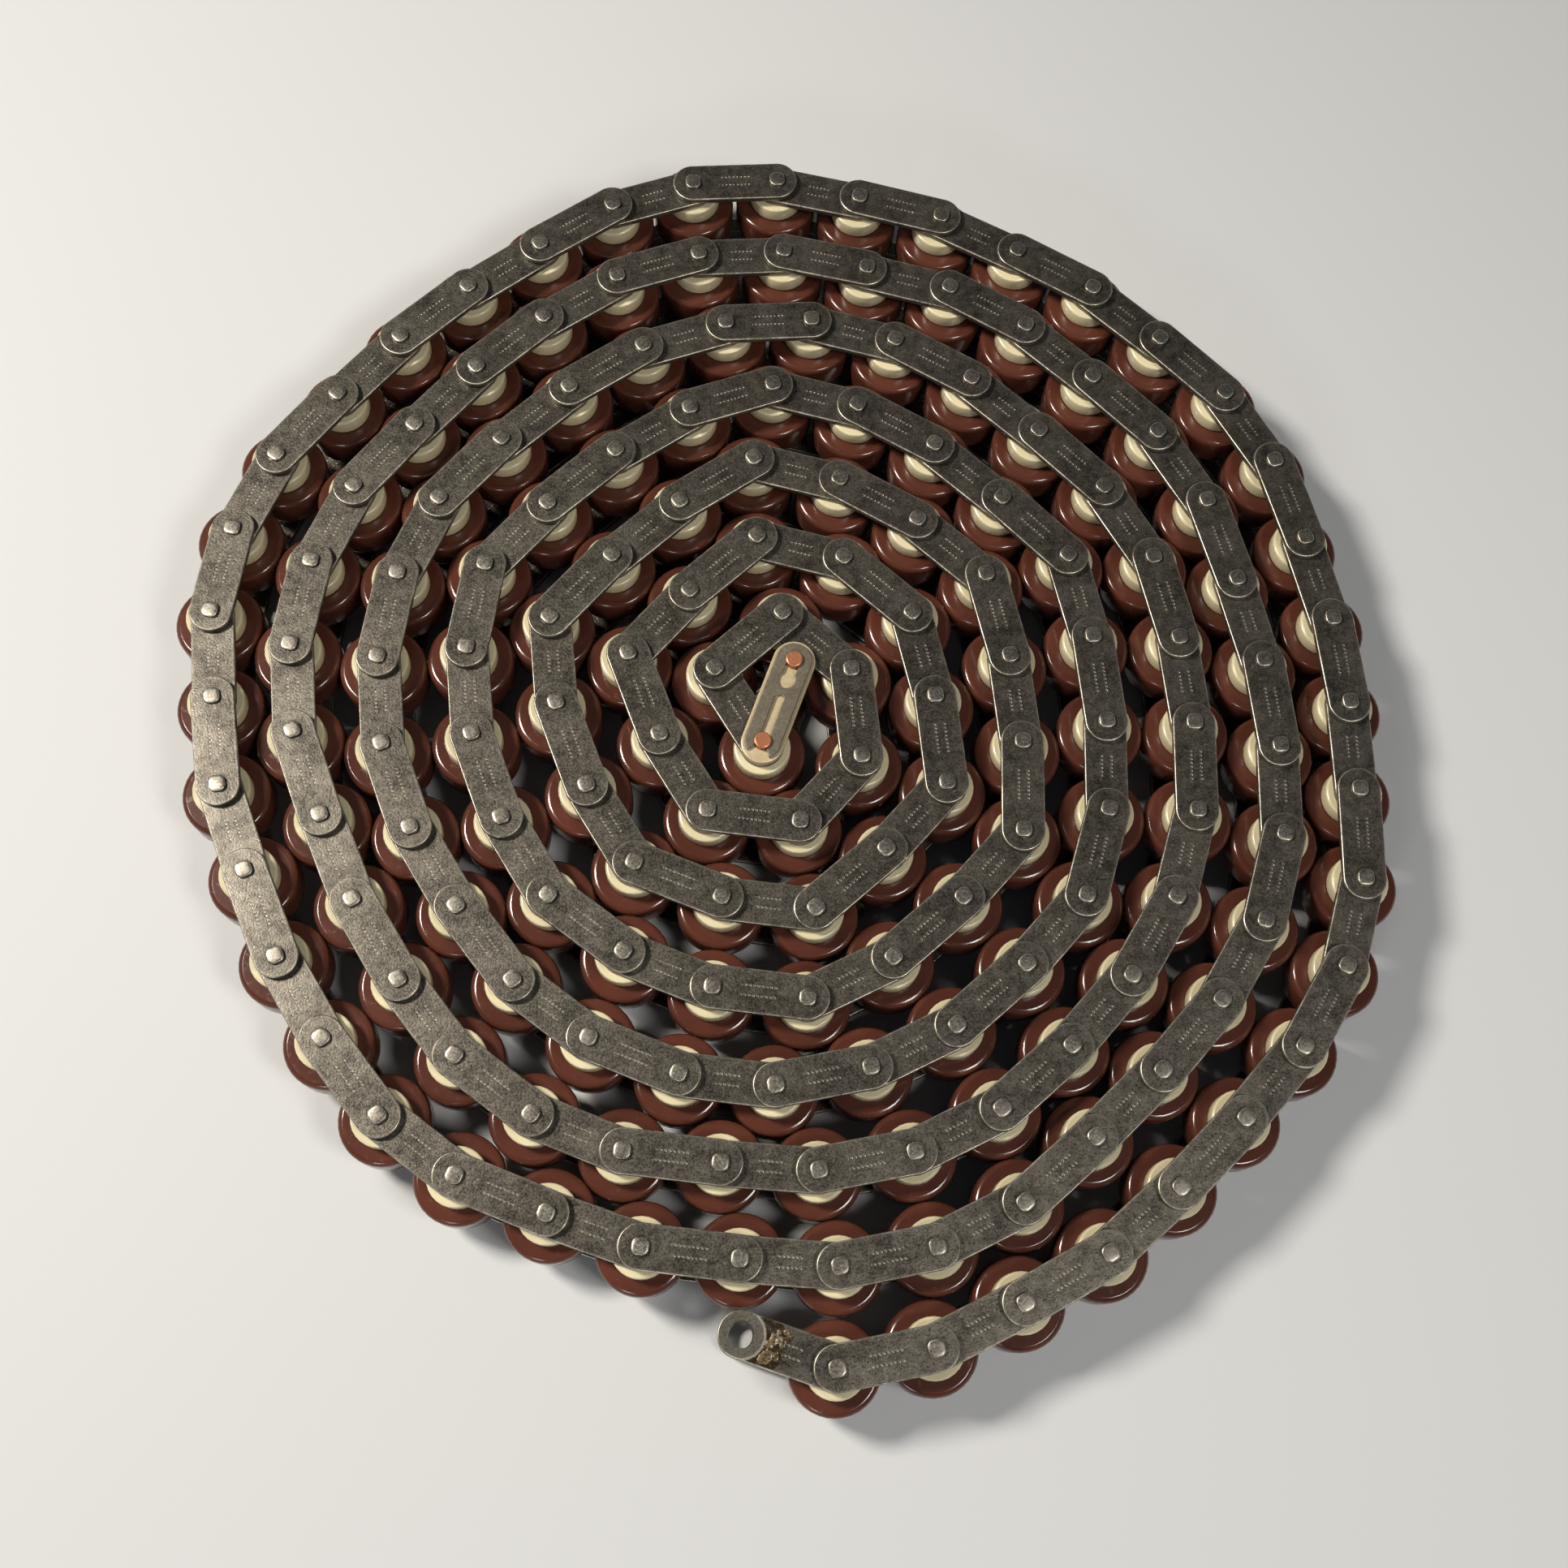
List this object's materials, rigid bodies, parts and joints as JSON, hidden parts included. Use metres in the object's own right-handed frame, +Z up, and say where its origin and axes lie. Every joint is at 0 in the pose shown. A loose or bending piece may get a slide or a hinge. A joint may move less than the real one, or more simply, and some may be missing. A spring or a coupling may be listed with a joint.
{
  "type": "conveyor chain",
  "caption": "Free-flow conveyor chain in a flat coil: wide rollers between narrow ones on each pin, riveted links, a clip connecting link inside and a loose articulated run outside.",
  "frame": {"origin": "middle of the coil's bounding box, on the surface that the coil lies on", "axes": "+Z up along the chain's pins; +X and +Y across the coil, with its open outer end at -Y"},
  "size_m": [0.257, 0.276, 0.0252],
  "materials": {
    "link_plate": "dark oxide, lightly oiled",
    "pin": "ground and riveted steel",
    "bush": "case-hardened steel",
    "large_roller": "glossy red-brown engineering plastic",
    "small_roller": "glossy ivory engineering plastic",
    "connecting_pin": "copper-coloured pin ends",
    "cover_plate": "champagne-coloured plated steel",
    "spring_clip": "tempered spring steel"
  },
  "bodies": {
    "coil": {"coil_inner_plates_lower": "link_plate", "coil_inner_plates_upper": "link_plate", "coil_outer_plates_lower": "link_plate", "coil_outer_plates_upper": "link_plate", "coil_bushes": "bush", "coil_pins": "pin", "coil_large_rollers": "large_roller", "coil_small_rollers_lower": "small_roller", "coil_small_rollers_upper": "small_roller"},
    "connecting_link": {"connecting_plate": "link_plate", "connecting_pins": "connecting_pin", "cover_plate": "cover_plate"},
    "spring_clip": {"spring_clip": "spring_clip"},
    "free_1": {"free_1_outer_plate_lower": "link_plate", "free_1_outer_plate_upper": "link_plate", "free_1_pins": "pin"},
    "free_2": {"free_2_inner_plate_lower": "link_plate", "free_2_inner_plate_upper": "link_plate", "free_2_bushes": "bush"},
    "free_3": {"free_3_outer_plate_lower": "link_plate", "free_3_outer_plate_upper": "link_plate", "free_3_pins": "pin"},
    "free_4": {"free_4_inner_plate_lower": "link_plate", "free_4_inner_plate_upper": "link_plate", "free_4_bushes": "bush"},
    "free_5": {"free_5_outer_plate_lower": "link_plate", "free_5_outer_plate_upper": "link_plate", "free_5_pins": "pin"},
    "free_6": {"free_6_inner_plate_lower": "link_plate", "free_6_inner_plate_upper": "link_plate", "free_6_bushes": "bush"},
    "large_roller_1": {"large_roller_1": "large_roller"},
    "small_roller_1_lower": {"small_roller_1_lower": "small_roller"},
    "small_roller_1_upper": {"small_roller_1_upper": "small_roller"},
    "large_roller_2": {"large_roller_2": "large_roller"},
    "small_roller_2_lower": {"small_roller_2_lower": "small_roller"},
    "small_roller_2_upper": {"small_roller_2_upper": "small_roller"},
    "large_roller_3": {"large_roller_3": "large_roller"},
    "small_roller_3_lower": {"small_roller_3_lower": "small_roller"},
    "small_roller_3_upper": {"small_roller_3_upper": "small_roller"},
    "large_roller_4": {"large_roller_4": "large_roller"},
    "small_roller_4_lower": {"small_roller_4_lower": "small_roller"},
    "small_roller_4_upper": {"small_roller_4_upper": "small_roller"},
    "large_roller_5": {"large_roller_5": "large_roller"},
    "small_roller_5_lower": {"small_roller_5_lower": "small_roller"},
    "small_roller_5_upper": {"small_roller_5_upper": "small_roller"}
  },
  "joints": [
    {"name": "connecting_hinge", "type": "hinge", "parent": "coil", "child": "connecting_link", "pos_m": [-0.00422, -0.00566, 0.0121], "axis": [0, 0, 1], "range_deg": [-1, 1]},
    {"name": "clip_slide", "type": "slide", "parent": "connecting_link", "child": "spring_clip", "axis": [0.342, 0.9397, 0], "range_m": [0, 0.0047]},
    {"name": "free_1_hinge", "type": "hinge", "parent": "coil", "child": "free_1", "pos_m": [0.09069, -0.08192, 0.0121], "axis": [0, 0, 1], "range_deg": [0, 45]},
    {"name": "free_2_hinge", "type": "hinge", "parent": "free_1", "child": "free_2", "pos_m": [0.07706, -0.09524, 0.0121], "axis": [0, 0, 1], "range_deg": [0, 45]},
    {"name": "free_3_hinge", "type": "hinge", "parent": "free_2", "child": "free_3", "pos_m": [0.06269, -0.10773, 0.0121], "axis": [0, 0, 1], "range_deg": [0, 45]},
    {"name": "free_4_hinge", "type": "hinge", "parent": "free_3", "child": "free_4", "pos_m": [0.04598, -0.11689, 0.0121], "axis": [0, 0, 1], "range_deg": [0, 45]},
    {"name": "free_5_hinge", "type": "hinge", "parent": "free_4", "child": "free_5", "pos_m": [0.02886, -0.12524, 0.0121], "axis": [0, 0, 1], "range_deg": [0, 45]},
    {"name": "free_6_hinge", "type": "hinge", "parent": "free_5", "child": "free_6", "pos_m": [0.01016, -0.12886, 0.0121], "axis": [0, 0, 1], "range_deg": [0, 45]},
    {"name": "large_roller_1_spin", "type": "hinge", "parent": "free_2", "child": "large_roller_1", "pos_m": [0.07706, -0.09524, 0.0121], "axis": [0, 0, 1], "continuous": true},
    {"name": "small_roller_1_lower_spin", "type": "hinge", "parent": "free_2", "child": "small_roller_1_lower", "pos_m": [0.07706, -0.09524, 0.0121], "axis": [0, 0, 1], "continuous": true},
    {"name": "small_roller_1_upper_spin", "type": "hinge", "parent": "free_2", "child": "small_roller_1_upper", "pos_m": [0.07706, -0.09524, 0.0121], "axis": [0, 0, 1], "continuous": true},
    {"name": "large_roller_2_spin", "type": "hinge", "parent": "free_2", "child": "large_roller_2", "pos_m": [0.06269, -0.10773, 0.0121], "axis": [0, 0, 1], "continuous": true},
    {"name": "small_roller_2_lower_spin", "type": "hinge", "parent": "free_2", "child": "small_roller_2_lower", "pos_m": [0.06269, -0.10773, 0.0121], "axis": [0, 0, 1], "continuous": true},
    {"name": "small_roller_2_upper_spin", "type": "hinge", "parent": "free_2", "child": "small_roller_2_upper", "pos_m": [0.06269, -0.10773, 0.0121], "axis": [0, 0, 1], "continuous": true},
    {"name": "large_roller_3_spin", "type": "hinge", "parent": "free_4", "child": "large_roller_3", "pos_m": [0.04598, -0.11689, 0.0121], "axis": [0, 0, 1], "continuous": true},
    {"name": "small_roller_3_lower_spin", "type": "hinge", "parent": "free_4", "child": "small_roller_3_lower", "pos_m": [0.04598, -0.11689, 0.0121], "axis": [0, 0, 1], "continuous": true},
    {"name": "small_roller_3_upper_spin", "type": "hinge", "parent": "free_4", "child": "small_roller_3_upper", "pos_m": [0.04598, -0.11689, 0.0121], "axis": [0, 0, 1], "continuous": true},
    {"name": "large_roller_4_spin", "type": "hinge", "parent": "free_4", "child": "large_roller_4", "pos_m": [0.02886, -0.12524, 0.0121], "axis": [0, 0, 1], "continuous": true},
    {"name": "small_roller_4_lower_spin", "type": "hinge", "parent": "free_4", "child": "small_roller_4_lower", "pos_m": [0.02886, -0.12524, 0.0121], "axis": [0, 0, 1], "continuous": true},
    {"name": "small_roller_4_upper_spin", "type": "hinge", "parent": "free_4", "child": "small_roller_4_upper", "pos_m": [0.02886, -0.12524, 0.0121], "axis": [0, 0, 1], "continuous": true},
    {"name": "large_roller_5_spin", "type": "hinge", "parent": "free_6", "child": "large_roller_5", "pos_m": [0.01016, -0.12886, 0.0121], "axis": [0, 0, 1], "continuous": true},
    {"name": "small_roller_5_lower_spin", "type": "hinge", "parent": "free_6", "child": "small_roller_5_lower", "pos_m": [0.01016, -0.12886, 0.0121], "axis": [0, 0, 1], "continuous": true},
    {"name": "small_roller_5_upper_spin", "type": "hinge", "parent": "free_6", "child": "small_roller_5_upper", "pos_m": [0.01016, -0.12886, 0.0121], "axis": [0, 0, 1], "continuous": true}
  ]
}
